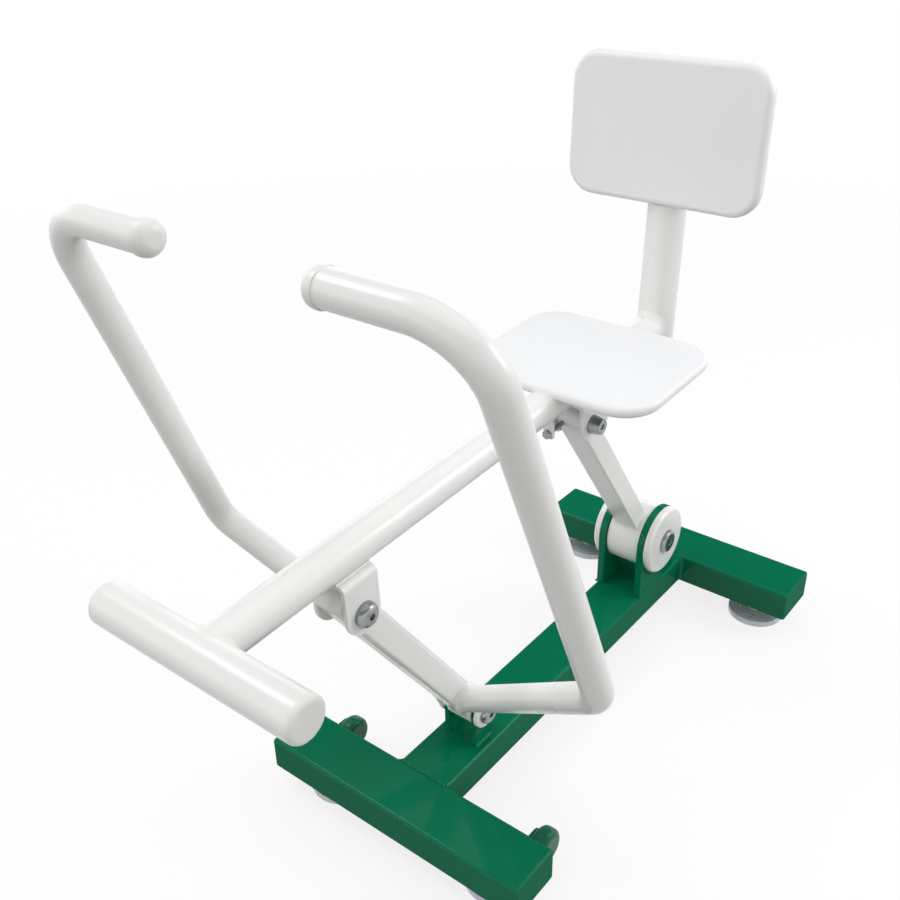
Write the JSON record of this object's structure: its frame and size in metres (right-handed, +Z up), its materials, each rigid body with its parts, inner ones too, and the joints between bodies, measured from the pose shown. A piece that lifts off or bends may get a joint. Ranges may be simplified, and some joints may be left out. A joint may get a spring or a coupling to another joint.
{
  "type": "outdoor seated rowing station",
  "caption": "Outdoor seated rowing station: green base with levelling feet, white parallel-link carriage with seat, backrest and footrest, and bent handles on the front lever.",
  "frame": {"origin": "on the floor, under the middle of the part's box", "axes": "+X from the seat to the footrest, +Y to the seated user's left, +Z up"},
  "size_m": [1.1852, 0.66, 1.0095],
  "materials": {
    "white_paint": "gloss",
    "green_paint": "gloss",
    "green_plastic": "gloss",
    "white_board": "satin",
    "white_plastic": "satin",
    "zinc_steel": "polished",
    "nylon": "matte",
    "rubber": "matte"
  },
  "bodies": {
    "base": {"front_crossbeam": "green_paint", "rear_crossbeam": "green_paint", "spine_beam": "green_paint", "front_beam_end_plates": "green_paint", "rear_beam_end_plates": "green_paint", "front_pivot_ears": "green_paint", "rear_pivot_cheeks": "green_paint", "front_pivot_rings": "white_paint", "rear_pivot_discs": "white_paint", "front_pivot_bolt": "zinc_steel", "front_pivot_nut": "zinc_steel", "rear_pivot_axle": "zinc_steel", "rear_pivot_bolts": "zinc_steel", "wheel_brackets": "green_paint", "wheel_axles": "zinc_steel", "foot_nuts": "zinc_steel"},
    "handle_lever": {"front_hub_barrel": "white_paint", "front_hub_bushes": "nylon", "lever_bar": "white_paint", "lever_end_plug": "white_plastic", "lever_pivot_sleeve": "white_paint", "lever_pivot_bush": "nylon", "handle_tube_left": "white_paint", "handle_tube_right": "white_paint", "grip_caps": "white_plastic"},
    "rear_rocker": {"rear_hub_barrel": "white_paint", "rear_hub_bearings": "zinc_steel", "rocker_bar": "white_paint", "rocker_eye": "white_paint", "rocker_pivot_bush": "nylon"},
    "seat_carriage": {"main_tube": "white_paint", "footrest_tube": "white_paint", "footrest_end_caps": "white_plastic", "front_bracket": "white_paint", "front_link_bolt": "zinc_steel", "seat_bracket": "white_paint", "seat_link_bolt": "zinc_steel", "link_nuts": "zinc_steel", "stop_tab": "white_paint", "stop_bolt": "zinc_steel", "rest_buffer": "rubber", "seat_wings": "white_paint", "seat_plate": "white_board", "seat_screws": "zinc_steel", "seat_post": "white_paint", "post_caps": "white_plastic", "back_mount_plate": "white_paint", "back_plate": "white_board", "back_screws": "zinc_steel"},
    "wheel_left": {"wheel_left": "green_plastic"},
    "wheel_right": {"wheel_right": "green_plastic"},
    "foot_front_left": {"foot_pad_front_left": "zinc_steel", "foot_stud_front_left": "zinc_steel"},
    "foot_front_right": {"foot_pad_front_right": "zinc_steel", "foot_stud_front_right": "zinc_steel"},
    "foot_rear_left": {"foot_pad_rear_left": "zinc_steel", "foot_stud_rear_left": "zinc_steel"},
    "foot_rear_right": {"foot_pad_rear_right": "zinc_steel", "foot_stud_rear_right": "zinc_steel"}
  },
  "joints": [
    {"name": "lever_swing", "type": "hinge", "parent": "base", "child": "handle_lever", "pos_m": [0.11579, 0, 0.1518], "axis": [0, -1, 0], "range_deg": [0, 34]},
    {"name": "carriage_pivot", "type": "hinge", "parent": "handle_lever", "child": "seat_carriage", "pos_m": [0.34784, 0, 0.47761], "axis": [0, 1, 0], "range_deg": [0, 34]},
    {"name": "rocker_swing", "type": "hinge", "parent": "base", "child": "rear_rocker", "pos_m": [-0.39421, 0, 0.1901], "axis": [0, -1, 0], "range_deg": [0, 34]},
    {"name": "wheel_left_spin", "type": "hinge", "parent": "base", "child": "wheel_left", "pos_m": [0.18069, 0.185, 0.034], "axis": [0, 1, 0], "continuous": true},
    {"name": "wheel_right_spin", "type": "hinge", "parent": "base", "child": "wheel_right", "pos_m": [0.18069, -0.185, 0.034], "axis": [0, 1, 0], "continuous": true},
    {"name": "foot_front_left_screw", "type": "slide", "parent": "base", "child": "foot_front_left", "axis": [0, 0, -1], "range_m": [0, 0.015]},
    {"name": "foot_front_right_screw", "type": "slide", "parent": "base", "child": "foot_front_right", "axis": [0, 0, -1], "range_m": [0, 0.015]},
    {"name": "foot_rear_left_screw", "type": "slide", "parent": "base", "child": "foot_rear_left", "axis": [0, 0, -1], "range_m": [0, 0.015]},
    {"name": "foot_rear_right_screw", "type": "slide", "parent": "base", "child": "foot_rear_right", "axis": [0, 0, -1], "range_m": [0, 0.015]}
  ],
  "couplings": [
    {"joint": "carriage_pivot", "follows": "lever_swing", "ratio": 1},
    {"joint": "rocker_swing", "follows": "lever_swing", "ratio": 1}
  ]
}
